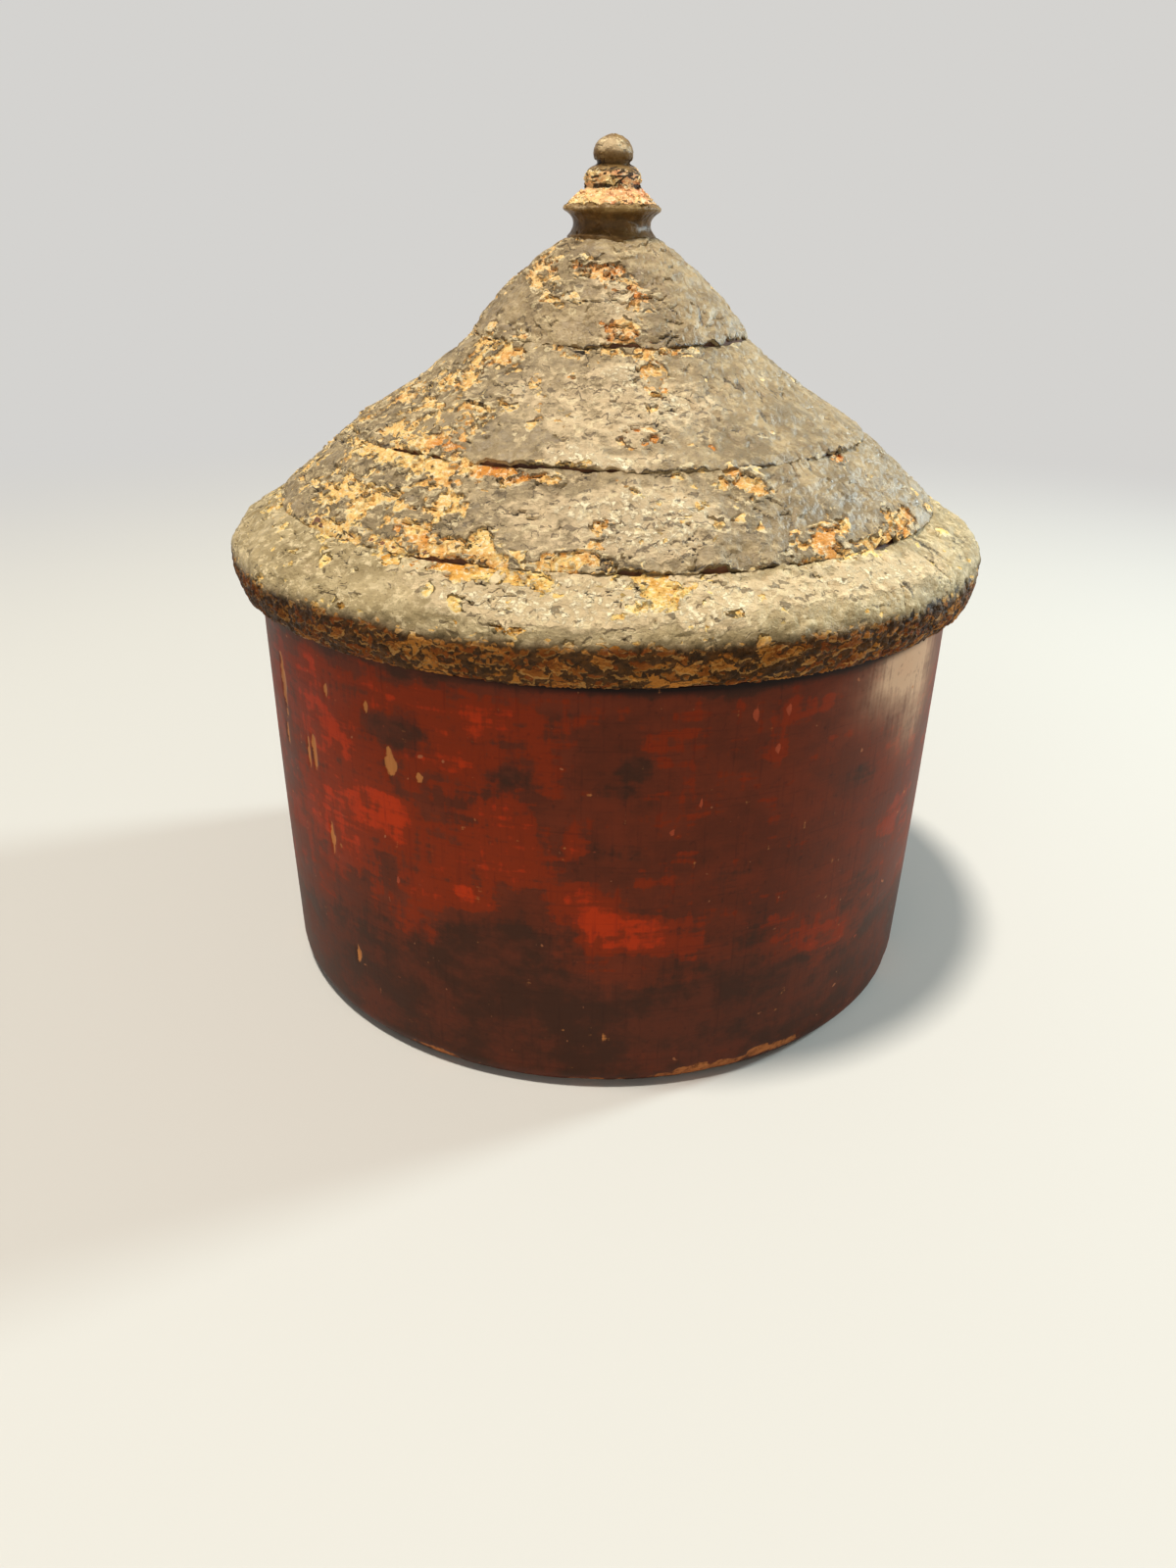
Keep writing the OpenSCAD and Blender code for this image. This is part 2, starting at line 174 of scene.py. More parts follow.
# Lacquer: red lac melted on to the turning drum. It is dark with smoke and handling, rubbed back to bright
# red in places, chipped in short upright splinters and worn through to the wood along the foot.
class Coat:
    """A coat on turned wood, as a fine grid of points in rings from its lower edge to its upper one."""

    def __init__(self, outline, spacing):
        outline = np.array(outline)
        marks = np.concatenate([[0.0], np.cumsum(np.linalg.norm(np.diff(outline, axis=0), axis=1))])
        self.along = np.linspace(0.0, marks[-1], round(marks[-1] / spacing) + 1)
        self.radius = np.interp(self.along, marks, outline[:, 0])
        self.height = np.interp(self.along, marks, outline[:, 1])
        columns = round(math.tau * self.radius.max() / spacing)
        self.azimuth = np.linspace(-math.pi, math.pi, columns, endpoint=False)
        self.points = self.turn(self.radius, self.height)
        out, up = np.gradient(self.height), -np.gradient(self.radius)
        self.normals = self.turn(out / np.hypot(out, up), up / np.hypot(out, up))

    def turn(self, radius, height):
        """Each pair of radius and height at every azimuth, which is 0 in front and grows to the right."""
        x = radius[:, None] * np.sin(self.azimuth)
        y = -radius[:, None] * np.cos(self.azimuth)
        return np.stack([x, y, np.repeat(height[:, None], len(self.azimuth), axis=1)], axis=2)

    def mottle(self, size, octaves=1, seed=0, stretch=(1, 1, 1)):
        """Smooth noise of about -1 to 1, in blotches of that size."""
        where = self.points / np.array(stretch) / size + 7.31 * seed
        values = [noise.fractal(point, 1.0, 2.0, octaves) for point in where.reshape(-1, 3).tolist()]
        return np.array(values).reshape(where.shape[:2])

    def streaks(self, width, length, seed):
        """Smooth noise of about -1 to 1, in lines of that width and length up the coat."""
        around = self.turn(np.full(len(self.along), self.radius.mean()), self.along)
        where = around / np.array((width, width, length)) + 7.31 * seed
        values = [noise.noise(point) for point in where.reshape(-1, 3).tolist()]
        return np.array(values).reshape(where.shape[:2])

    def cells(self, size, flat, warp, seed):
        """Splits the coat into flakes, flat times as wide as tall, with edges that wander by warp. Returns
        each point's distance in from its flake's edge, its flake's number from 0 to 1, and the tilt."""
        wander = np.stack([self.mottle(0.6 * size, 2, seed + k) for k in (1, 2, 3)], axis=2)
        where = (self.points + warp * wander) * (1, 1, flat) / size + 5.17 * seed
        where = where.reshape(-1, 3)
        found = [noise.voronoi(point) for point in where.tolist()]
        inside = np.array([distances[1] - distances[0] for distances, centres in found])
        centres = np.array([centres[0] for distances, centres in found])
        chance = np.modf(np.abs(np.sin(centres @ (12.99, 78.23, 37.72)) * 43758.5))[0]
        lean = np.stack([np.cos(40 * chance), np.sin(40 * chance), np.sin(70 * chance)], axis=1)
        tilt = ((where - centres) * lean).sum(axis=1)
        return [values.reshape(self.points.shape[:2]) for values in (inside, chance, tilt)]

    def spots(self, spots, flat=1):
        """Soft spots, each given as azimuth in degrees, height, width and length in mm, and amount. Their
        edges are steeper and their middles flatter as flat grows."""
        total = np.zeros(self.points.shape[:2])
        for azimuth, height, width, length, amount in spots:
            turn = (self.azimuth - math.radians(azimuth) + math.pi) % math.tau - math.pi
            across = 2 * turn * self.radius[:, None] / (width * mm)
            level = np.interp(height * mm, self.height, self.along)
            upward = 2 * (self.along - level) / (length * mm)
            total += amount * np.exp(-((across**2 + upward[:, None] ** 2) ** flat))
        return total

    def slivers(self, spots):
        """Slivers, given as spots are but without the amount: 0.5 at their edges and 1.5 in the middle."""
        total = np.zeros(self.points.shape[:2])
        for azimuth, height, width, length in spots:
            across = 2 * np.abs(self.azimuth - math.radians(azimuth)) * self.radius[:, None] / (width * mm)
            upward = 2 * np.abs(self.height - height * mm) / (length * mm)
            total = np.maximum(total, 1.5 - across**1.4 - upward[:, None] ** 1.2)
        return total

    def sag(self, drop):
        """Lets the lower edge down by drop at each azimuth, fading out above it."""
        self.points[:, :, 2] -= drop * np.exp(-self.along / (1.2 * mm))[:, None]

    def build(self, name, thickness, relief, masks):
        """The coat as a closed shell, its outer face moved by relief, with the masks for its material."""
        domed = self.radius[-1] < 1e-6
        last = len(self.along) - 1 if domed else len(self.along)
        lean = np.unwrap(np.arctan2(self.normals[:last, 0, 2], self.normals[:last, 0, 1]))
        bends = np.floor(np.cumsum(np.abs(np.diff(lean))) / 0.15)
        keep = np.unique(np.concatenate([[0], np.flatnonzero(np.diff(bends)) + 1, [last - 1]]))
        outer = self.points + relief[..., None] * self.normals
        inner = self.points - thickness * self.normals
        rings = np.concatenate([outer[:last], inner[keep][::-1]])
        count = rings.shape[0] * rings.shape[1]
        corner = np.arange(count).reshape(rings.shape[:2])
        beside = np.roll(corner, -1, axis=1)
        quads = np.stack([corner, beside, np.roll(beside, -1, axis=0), np.roll(corner, -1, axis=0)], axis=2)
        if domed:
            quads = np.delete(quads, last - 1, axis=0)
        points = rings.reshape(-1, 3).tolist()
        faces = quads.reshape(-1, 4).tolist()
        if domed:
            points += [outer[-1].mean(axis=0).tolist(), inner[-1].mean(axis=0).tolist()]
            faces += [[a, b, count] for a, b in zip(corner[last - 1], beside[last - 1])]
            faces += [[b, a, count + 1] for a, b in zip(corner[last], beside[last])]
        mesh = bpy.data.meshes.new(name)
        mesh.from_pydata(points, [], faces)
        mesh.polygons.foreach_set("use_smooth", np.ones(len(faces), bool))
        mesh.set_sharp_from_angle(angle=math.radians(50))
        for label, mask in masks.items():
            values = np.zeros(len(points))
            shown = mask[:last].ravel()
            values[: shown.size] = shown
            mesh.attributes.new(label, "FLOAT", "POINT").data.foreach_set("value", values)
        piece = bpy.data.objects.new(name, mesh)
        bpy.context.scene.collection.objects.link(piece)
        return piece


def soften(mask, reach):
    """The mask blurred over that many grid steps each way."""
    padded = np.pad(mask.astype(float), ((reach, reach), (0, 0)), mode="edge")
    rows = sum(padded[k : k + len(mask)] for k in range(2 * reach + 1)) / (2 * reach + 1)
    return sum(np.roll(rows, k, axis=1) for k in range(-reach, reach + 1)) / (2 * reach + 1)


def smooth(value, low, high):
    """0 below low, 1 above high and smooth between."""
    part = np.clip((value - low) / (high - low), 0, 1)
    return part * part * (3 - 2 * part)


def curve(start, end, rise, steps=24):
    """Points on an outline from start to end that bow out by rise in the middle."""
    start, end = np.array(start), np.array(end)
    along = end - start
    out = np.array([along[1], -along[0]]) / np.linalg.norm(along)
    parts = np.linspace(0, 1, steps + 1)[:, None]
    return (start + along * parts + 4 * rise * parts * (1 - parts) * out).tolist()


def bend(centre, across, up, first, last, steps=16):
    """Points on an ellipse from one angle to another, in degrees."""
    angles = np.radians(np.linspace(first, last, steps + 1))
    return np.stack([centre[0] + across * np.cos(angles), centre[1] + up * np.sin(angles)], axis=1).tolist()


def mask_of(tree, label):
    return add(tree, "Attribute", attribute_name=label).outputs["Fac"]


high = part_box("body_lacquer")[1]
lacquer_t = 0.6 * mm
foot_round = 5 * mm
shoulder_r = high.x - 0.02 * mm
drum_foot_r = shoulder_r - 1.5 * mm
lacquer = Coat(
    bend((drum_foot_r - foot_round, foot_round), foot_round, foot_round, -75, 0)[:-1]
    + curve((drum_foot_r, foot_round), (shoulder_r, high.z), 0.3 * mm),
    0.9 * mm,
)
rubbed_spots = [
    (-32, 84, 84, 60, 0.3), (-60, 90, 50, 40, 0.25), (-18, 98, 52, 13, 0.55), (-45, 86, 34, 20, 0.5),
    (-44, 58, 34, 26, 0.5), (-22, 87, 36, 8, 0.5), (-7, 86, 6, 12, 0.6), (-13, 70, 18, 24, 0.55),
    (-3, 70, 6, 9, 0.7), (-22, 52, 26, 10, 0.6), (-18, 53, 10, 7, 0.5), (-2, 53, 16, 12, 1.0),
    (4, 47, 22, 12, 1.0), (11, 44, 20, 15, 0.6), (-12, 62, 22, 12, 0.4), (25, 91, 8, 9, 0.6),
    (30, 99, 22, 7, 0.35), (36, 34, 36, 14, 0.35), (53, 58, 16, 14, 0.4), (-28, 37, 14, 14, 0.4),
    (-34, 70, 20, 14, 0.4), (3, 60, 26, 9, 0.3), (120, 70, 40, 22, 0.6), (150, 45, 35, 18, 0.9),
    (-110, 60, 34, 30, 0.6), (-150, 80, 46, 16, 0.6), (95, 92, 26, 12, 0.5), (180, 88, 30, 12, 0.5),
    (-90, 40, 24, 16, 0.9), (38, 72, 60, 60, -0.25),
]
smoke_spots = [
    (-31, 92, 21, 10, 0.8), (5, 89, 7, 7, 0.9), (-12, 85, 11, 6, 0.5), (3, 80, 26, 8, 0.4),
    (3, 68, 16, 7, 0.6), (-12, 43, 24, 10, 0.7), (-17, 35, 46, 18, 0.8), (22, 34, 22, 14, 0.6),
    (-6, 22, 75, 20, 0.7), (20, 60, 15, 11, 0.5), (45, 42, 32, 17, 0.5), (44, 79, 28, 11, 0.4),
    (-4, 101, 9, 5, 0.6), (-47, 23, 20, 20, 0.5), (80, 25, 80, 22, 0.7), (170, 22, 90, 20, 0.7),
    (-120, 25, 80, 22, 0.7), (110, 60, 30, 24, 0.5), (-85, 90, 40, 18, 0.5), (140, 96, 40, 12, 0.6),
]
chips = [
    (-49, 78, 2.6, 12), (-51, 75.5, 1.8, 9), (-31, 83, 3.6, 8), (-44, 96, 1.4, 5), (-35, 95.5, 2, 3.5),
    (-26, 81.5, 2, 3.5), (-46, 55, 1.8, 9), (-42, 23, 1.8, 7), (-59, 91, 3.4, 20), (-60, 76, 2, 9),
    (75, 70, 2, 9), (100, 40, 2.4, 8), (130, 85, 2, 10), (165, 60, 2.4, 7), (-140, 50, 2, 10),
    (-100, 80, 2.6, 9), (-165, 30, 2, 8),
]
nicks = [
    (21, 100, 1.8, 6), (26, 100, 1.2, 4), (25, 91, 1.8, 3), (14, 80, 1.1, 3.5), (10, 73, 1.4, 2),
    (-31, 52, 1.2, 2.5),
]
worn_spots = [
    (-28, 3, 26, 4, 0.7), (16, 3, 20, 5, 0.8), (31, 4.5, 22, 5, 0.9), (0, 2, 20, 3, 0.5),
    (70, 3, 30, 5, 0.8), (120, 3, 26, 6, 0.8), (175, 3, 40, 5, 0.8), (-130, 3, 40, 6, 0.9),
    (-75, 3, 26, 4, 0.7),
]
# Painted sheen: the two top-right spots stand for a satin reflection; the two behind are dust.
dust_and_sheen_spots = [
    (52, 101, 28, 16, 1.8), (57, 88, 18, 18, 0.5), (130, 55, 36, 30, 0.2), (-130, 70, 36, 30, 0.2),
]
blotch = lacquer.mottle(13 * mm, 4, 1, (1.4, 1.4, 1))
fine = lacquer.mottle(3 * mm, 2, 2)
smoke_and_shade = lacquer.spots(smoke_spots) + 0.22 * lacquer.mottle(26 * mm, 3, 3, (1.6, 1.6, 1))
from_top = lacquer.along[-1] - lacquer.along[:, None]
# Painted shadow: the lacquer darkens all round in its top few mm, just under the lid's rim.
smoke_and_shade += 1.2 * np.exp(-from_top / (2.2 * mm))
# Darker towards the bottom of the drum.
smoke_and_shade += 0.8 * smooth(lacquer.height[:, None] + 9 * mm * blotch, 38 * mm, 22 * mm)
rubbed = lacquer.spots(rubbed_spots, 2) - 0.5 * smoke_and_shade + 0.4 * blotch + 0.2 * fine
rubbed -= 0.4 * smooth(lacquer.height, 42 * mm, 26 * mm)[:, None]
chip = lacquer.slivers(chips) + 0.45 * lacquer.mottle(2.4 * mm, 2, 5, (1, 1, 2.5))
nick = lacquer.slivers(nicks) + 0.45 * lacquer.mottle(2.4 * mm, 2, 6, (1, 1, 2.5))
worn = lacquer.spots(worn_spots) + 0.25 * fine + 0.3 * blotch
worn += 0.4 * np.exp(-lacquer.along[:, None] / (3 * mm))
worn = smooth(worn, 0.3, 0.8)
dust_and_sheen = lacquer.spots(dust_and_sheen_spots) * (1 + 0.6 * blotch)
waves = -0.08 * mm + 0.05 * mm * lacquer.mottle(30 * mm, 2, 4)
relief = waves - 0.3 * mm * np.maximum(smooth(chip, 0.4, 0.7), worn)
relief = np.clip(relief, 0.1 * mm - lacquer_t, 0)
# Painted shadow: a dark band just under the lid's rim, from the front round the right, shaded by its
# overhang.
painted_rim_shadow = np.exp(-from_top / (1.6 * mm)) * smooth(lacquer.azimuth, -0.9, 0.3)
masks = {
    "rubbed": rubbed, "smoke_and_shade": smoke_and_shade, "chip": chip, "nick": nick,
    "worn": worn, "dust_and_sheen": dust_and_sheen, "painted_rim_shadow": painted_rim_shadow,
}
piece = lacquer.build("drum_lacquer", lacquer_t, relief, masks)

finish, tree = material("red lacquer")
where = add(tree, "TexCoord").outputs["Object"]
brush = grain(tree, where, (90, 90, 700), 4.0)
upright = grain(tree, where, (900, 900, 60), 3.0)
threads = grain(tree, where, (60, 60, 1700), 2.0)
speck = grain(tree, where, (620, 620, 620), 3.0)
cloud = grain(tree, where, (60, 60, 90), 5.0, 0.7)
blocks = plus(tree, grain(tree, where, (300, 300, 70), 2.0), grain(tree, where, (70, 70, 300), 2.0))
blocks = minus(tree, blocks, 1.0)
edge = plus(tree, times(tree, brush, 0.5), times(tree, upright, 0.3))
edge = minus(tree, plus(tree, edge, times(tree, speck, 0.3)), 0.55)
rub = plus(tree, mask_of(tree, "rubbed"), times(tree, edge, 2.2))
rub = plus(tree, rub, minus(tree, cloud, 0.5))
rub = plus(tree, rub, times(tree, blocks, 1.1))
tone = mix(tree, ease(tree, cloud, 0.35, 0.7), colour(90, 39, 19), colour(112, 46, 23))
tone = mix(tree, ease(tree, rub, 0.06, 0.42), tone, colour(130, 42, 6))
tone = mix(tree, ease(tree, rub, 0.68, 1.1), tone, colour(178, 50, 2))
darkening = plus(tree, mask_of(tree, "smoke_and_shade"), times(tree, edge, 1.3))
darkening = minus(tree, darkening, minus(tree, cloud, 0.5))
darkening = minus(tree, darkening, times(tree, blocks, 0.6))
# Dark tone for smoke, for the painted shadow under the lid's rim and for the darker lower part of the drum.
soot_and_shade_tone = mix(tree, ease(tree, cloud, 0.4, 0.62), colour(54, 34, 22), colour(84, 42, 26))
tone = mix(tree, times(tree, ease(tree, darkening, 0.25, 0.7), 0.78), tone, soot_and_shade_tone)
weave = sums(tree, "MAXIMUM", ease(tree, threads, 0.54, 0.8), ease(tree, upright, 0.52, 0.76))
tone = mix(tree, times(tree, weave, 0.3), tone, colour(46, 22, 14))
streaky = plus(tree, times(tree, upright, 0.4), times(tree, cloud, 0.8))
# Pale painted sheen at the top right, and dust behind, laid on the lacquer's colour.
streaked_dust_and_sheen = times(tree, mask_of(tree, "dust_and_sheen"), ease(tree, streaky, 0.25, 0.8))
tone = mix(tree, sums(tree, "MINIMUM", streaked_dust_and_sheen, 0.85), tone, colour(212, 174, 140))
tone = mix(tree, times(tree, ease(tree, speck, 0.58, 0.78), 0.4), tone, colour(44, 24, 16))
motes = ease(tree, grain(tree, where, (420, 420, 420), 1.0), 0.76, 0.8)
tone = mix(tree, times(tree, motes, 0.7), tone, colour(170, 104, 66))
# Painted shadow under the lid's rim, laid on the lacquer's colour.
tone = mix(tree, ease(tree, mask_of(tree, "painted_rim_shadow"), 0.1, 0.7), tone, colour(26, 13, 9))
bare = ease(tree, plus(tree, mask_of(tree, "worn"), times(tree, edge, 1.2)), 0.4, 0.6)
foot_wood = mix(tree, brush, colour(206, 130, 72), colour(120, 64, 34))
tone = mix(tree, times(tree, bare, ease(tree, speck, 0.25, 0.6)), tone, foot_wood)
chipped = ease(tree, plus(tree, mask_of(tree, "chip"), times(tree, edge, 1.8)), 0.42, 0.66)
tone = mix(tree, chipped, tone, mix(tree, upright, colour(206, 136, 72), colour(166, 98, 50)))
nicked = ease(tree, plus(tree, mask_of(tree, "nick"), times(tree, edge, 1.8)), 0.42, 0.66)
tone = mix(tree, nicked, tone, mix(tree, speck, colour(186, 84, 50), colour(132, 52, 28)))
dull = plus(tree, times(tree, cloud, 0.3), 0.38)
dull = plus(tree, dull, times(tree, sums(tree, "MAXIMUM", bare, streaked_dust_and_sheen), 0.2))
shader = add(tree, "BsdfPrincipled", {"Base Color": tone, "Roughness": dull, "IOR": 1.22})
height = plus(tree, times(tree, upright, 0.5), times(tree, brush, 0.5))
surface(tree, shader, height, 0.05 * mm)
piece.data.materials.append(finish)
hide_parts("body_lacquer")
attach(piece, "box")


# Lid: a hollow cone of wood turned to sit over the drum's neck, with a hole in its top for the knob. Paint
# covers its outside, so only the underside shows. The modelled piece is kept and its finish is made here.
finish_node("lid", bare_wood("lid wood", colour(150, 98, 60), colour(78, 46, 28)))


# Rim: a thick yellow ground under drab paint, built up by hand on the lid's rounded edge. It is scuffed pale
# on top. Below its widest line it is crazed all over, darkened as painted shade, and cracked at the right.
def warped(tree, where, scale, detail, reach):
    """Places moved about by noise of that scale and detail, by up to reach."""
    wander = add(tree, "TexNoise", {"Vector": where, "Scale": scale, "Detail": detail}).outputs["Color"]
    wander = add(tree, "VectorMath", {0: wander, "Scale": reach}, operation="SCALE").outputs[0]
    return add(tree, "VectorMath", {0: where, 1: wander}, operation="ADD").outputs[0]


def broken_scales():
    """Shared effect: a crust broken into scales of about Size. The share of them that Wear gives is lost and
    leaves a shadow under the edge above and a lit edge below, both about Edge of a scale wide."""
    inputs = dict.fromkeys(("Wear", "Size", "Edge"), "Float")
    outputs = dict.fromkeys(("Lost", "Shadow", "Lit", "Chance"), "Float")
    tree, ins, outs = effect("broken scales", inputs, outputs)
    where = add(tree, "TexCoord").outputs["Object"]
    finer = sums(tree, "DIVIDE", 1.0, ins.outputs["Size"])
    place = warped(tree, where, finer, 3.0, ins.outputs["Size"])
    place = add(tree, "VectorMath", {0: place, 1: (1.0, 1.0, 1.7)}, operation="MULTIPLY").outputs[0]
    place = add(tree, "VectorMath", {0: place, "Scale": finer}, operation="SCALE").outputs[0]
    edge = add(tree, "CombineXYZ", {"Z": ins.outputs["Edge"]}).outputs[0]
    above = add(tree, "VectorMath", {0: place, 1: edge}, operation="ADD").outputs[0]
    lost = []
    for spot in (place, above):
        scale = add(tree, "TexVoronoi", {"Vector": spot, "Scale": 1.0}).outputs["Color"]
        chance = add(tree, "SeparateColor", {"Color": scale}).outputs["Red"]
        lost.append(sums(tree, "LESS_THAN", chance, ins.outputs["Wear"]))
        if spot is place:
            tree.links.new(chance, outs.inputs["Chance"])
    both = times(tree, *lost)
    tree.links.new(lost[0], outs.inputs["Lost"])
    tree.links.new(minus(tree, lost[0], both), outs.inputs["Shadow"])
    tree.links.new(minus(tree, lost[1], both), outs.inputs["Lit"])
    return tree


def scales(tree, wear, size, edge):
    """Places the broken scales in a tree and returns their masks."""
    values = {"Wear": wear, "Size": size, "Edge": edge}
    return add(tree, "Group", values, node_tree=scale_effect).outputs


def flaked_paint():
    """Shared effect: old paint on a yellow ground, by masks of where it is lost, worn, split or scuffed."""
    inputs = dict.fromkeys(("Lost", "Wear", "Gap", "Scuff", "Hue", "Shade", "Crazed"), "Float")
    inputs |= dict.fromkeys(("Paint", "Dark Paint", "Pale Paint", "Ground", "Deep Ground"), "Color")
    outputs = {"Colour": "Color", "Roughness": "Float", "Height": "Float"}
    tree, ins, outs = effect("flaked paint", inputs, outputs)
    where = add(tree, "TexCoord").outputs["Object"]
    cloud = grain(tree, where, (70, 70, 90), 4.0)
    film = grain(tree, where, (380, 380, 600), 5.0, 0.68)
    grit = grain(tree, where, (2000, 2000, 2000), 2.0)
    patch = grain(tree, where, (150, 150, 190), 3.0)
    # Shade darkens the paint and ground as painted shade; Crazed sets how much it also crazes them.
    under = ins.outputs["Shade"]
    pale, dark, deep = (ins.outputs[label] for label in ("Pale Paint", "Dark Paint", "Deep Ground"))
    crazing = times(tree, under, ins.outputs["Crazed"])
    crazed = plus(tree, 0.34, times(tree, minus(tree, patch, 0.5), 2.0))
    crazed = times(tree, crazing, minus(tree, crazed, ins.outputs["Wear"]))
    wear = plus(tree, ins.outputs["Wear"], crazed)
    shed = minus(tree, times(tree, wear, 0.7), 0.06)
    large = scales(tree, shed, 4.0 * mm, 0.25)
    shed = minus(tree, times(tree, wear, plus(tree, 0.32, times(tree, crazing, 0.7))), 0.02)
    small = scales(tree, shed, 1.5 * mm, 0.35)

    ragged = plus(tree, times(tree, film, 2.4), times(tree, patch, 2.0))
    scuff = times(tree, ins.outputs["Scuff"], minus(tree, ragged, 1.2))
    rough = sums(tree, "MAXIMUM", ease(tree, ins.outputs["Wear"], 0.0, 0.3), ease(tree, scuff, 0.2, 0.7))
    shed = times(tree, rough, 0.17)
    fine = scales(tree, shed, 2.0 * mm, 0.45)
    rough = plus(tree, times(tree, rough, 0.6), 0.4)
    even = plus(tree, times(tree, ease(tree, cloud, 0.3, 0.7), 0.65), 0.35)
    paint = mix(tree, even, dark, ins.outputs["Paint"])
    chance = large["Chance"]
    spread = times(tree, rough, 0.75)
    paint = mix(tree, times(tree, ease(tree, chance, 0.5, 1.0), 0.25), paint, pale)
    paint = mix(tree, times(tree, ease(tree, chance, 0.4, 0.1), 0.2), paint, dark)
    paint = mix(tree, times(tree, ease(tree, film, 0.53, 0.61), spread), paint, pale)
    paint = mix(tree, times(tree, ease(tree, film, 0.46, 0.37), spread), paint, dark)
    paint = mix(tree, times(tree, ease(tree, grit, 0.4, 0.3), 0.5), paint, colour(84, 66, 42))
    paint = mix(tree, times(tree, ease(tree, scuff, 0.15, 0.8), 0.6), paint, colour(238, 211, 168))
    clumps = times(tree, ease(tree, film, 0.44, 0.54), ease(tree, scuff, 0.85, 1.35))
    place = warped(tree, where, 700.0, 2.0, 2.2 * mm)
    crumbs = add(tree, "TexVoronoi", {"Vector": place, "Scale": 900.0}).outputs["Distance"]
    crumbs = times(tree, clumps, ease(tree, crumbs, 0.6, 0.4))
    paint = mix(tree, times(tree, clumps, 0.25), paint, dark)
    paint = mix(tree, crumbs, paint, colour(255, 238, 198))
    # Painted shade: the darker paint and ground used where Shade is set.
    shaded_paint = mix(tree, ease(tree, film, 0.35, 0.7), colour(52, 33, 12), colour(94, 59, 23))
    paint = mix(tree, under, paint, shaded_paint)

    warm = plus(tree, ins.outputs["Hue"], times(tree, minus(tree, patch, 0.5), 1.3))
    warm = plus(tree, warm, times(tree, minus(tree, chance, 0.3), 0.5))
    ground = mix(tree, ease(tree, warm, 0.25, 1.15), ins.outputs["Ground"], deep)
    ground = mix(tree, times(tree, ease(tree, film, 0.52, 0.7), 0.5), ground, deep)
    ground = mix(tree, times(tree, ease(tree, film, 0.45, 0.3), 0.4), ground, colour(255, 242, 194))
    crumbly = grain(tree, where, (850, 850, 1050), 3.0, 0.7)
    ground = mix(tree, times(tree, ease(tree, crumbly, 0.52, 0.64), 0.6), ground, deep)
    ground = mix(tree, times(tree, ease(tree, crumbly, 0.48, 0.36), 0.7), ground, colour(255, 244, 206))
    ground = mix(tree, times(tree, ease(tree, crumbly, 0.62, 0.72), 0.6), ground, colour(112, 70, 32))
    red = ease(tree, times(tree, patch, warm), 0.75, 0.95)
    ground = mix(tree, red, ground, colour(160, 62, 32))
    shaded_ground = mix(tree, ease(tree, warm, 0.0, 0.9), colour(180, 116, 46), colour(122, 62, 18))
    ground = mix(tree, under, ground, shaded_ground)

    rough_edge = times(tree, minus(tree, grit, 0.5), 0.7)
    patches = ease(tree, plus(tree, ins.outputs["Lost"], rough_edge), 0.44, 0.56)
    most = plus(tree, times(tree, ease(tree, ins.outputs["Wear"], 0.5, 0.8), 0.12), 0.88)
    kept = sums(tree, "LESS_THAN", small["Chance"], most)
    lost = sums(tree, "MAXIMUM", large["Lost"], small["Lost"])
    lost = sums(tree, "MAXIMUM", lost, times(tree, patches, kept))
    tone = mix(tree, lost, paint, ground)
    intact = minus(tree, 1.0, patches)
    lit = sums(tree, "MAXIMUM", large["Lit"], times(tree, small["Lit"], 0.6))
    lit = sums(tree, "MAXIMUM", lit, times(tree, fine["Lit"], 0.8))
    lit = times(tree, lit, intact)
    bright = mix(tree, under, colour(252, 232, 184), colour(204, 148, 78))
    tone = mix(tree, times(tree, lit, 0.6), tone, bright)
    shadow = sums(tree, "MAXIMUM", large["Shadow"], times(tree, small["Shadow"], 0.6))
    shadow = sums(tree, "MAXIMUM", shadow, times(tree, fine["Shadow"], 0.7))
    shadow = times(tree, shadow, intact)
    tone = mix(tree, times(tree, shadow, 0.85), tone, colour(50, 34, 18))
    gap = ease(tree, plus(tree, ins.outputs["Gap"], rough_edge), 0.35, 0.75)
    tone = mix(tree, times(tree, gap, 0.92), tone, colour(38, 25, 15))
    tree.links.new(tone, outs.inputs["Colour"])
    dull = plus(tree, times(tree, lost, 0.2), times(tree, rough, 0.4))
    tree.links.new(plus(tree, dull, 0.22), outs.inputs["Roughness"])
    height = plus(tree, times(tree, film, times(tree, rough, 1.4)), times(tree, grit, 0.3))
    height = plus(tree, height, times(tree, chance, 0.3))
    height = minus(tree, height, times(tree, large["Lost"], 0.4))
    height = minus(tree, height, times(tree, small["Lost"], 0.25))
    height = minus(tree, height, times(tree, fine["Lost"], 0.2))
    height = plus(tree, height, times(tree, crumbs, 0.2))
    height = minus(tree, height, times(tree, times(tree, crumbly, lost), 0.6))
    tree.links.new(height, outs.inputs["Height"])
    return tree


def flaky_finish(name, paint, dark, pale, ground, deep, crazed=1.0, dull=1.0, depth=0.8 * mm, shine=0.45):
    """A material of flaking paint in these colours, crazed in its shade, glossy where dull is low, with fine
    relief of that depth and that much reflection."""
    made, tree = material(name)
    shades = {"Paint": paint, "Dark Paint": dark, "Pale Paint": pale, "Ground": ground, "Deep Ground": deep}
    values = {label: colour(*shade) for label, shade in shades.items()}
    for label in ("Lost", "Wear", "Gap", "Scuff", "Hue", "Shade"):
        values[label] = mask_of(tree, label.lower())
    values["Crazed"] = crazed
    crust = add(tree, "Group", values, node_tree=paint_effect).outputs
    shader = add(tree, "BsdfPrincipled", {"Base Color": crust["Colour"], "Specular IOR Level": shine})
    tree.links.new(times(tree, crust["Roughness"], dull), shader.inputs["Roughness"])
    surface(tree, shader, crust["Height"], depth)
    return made


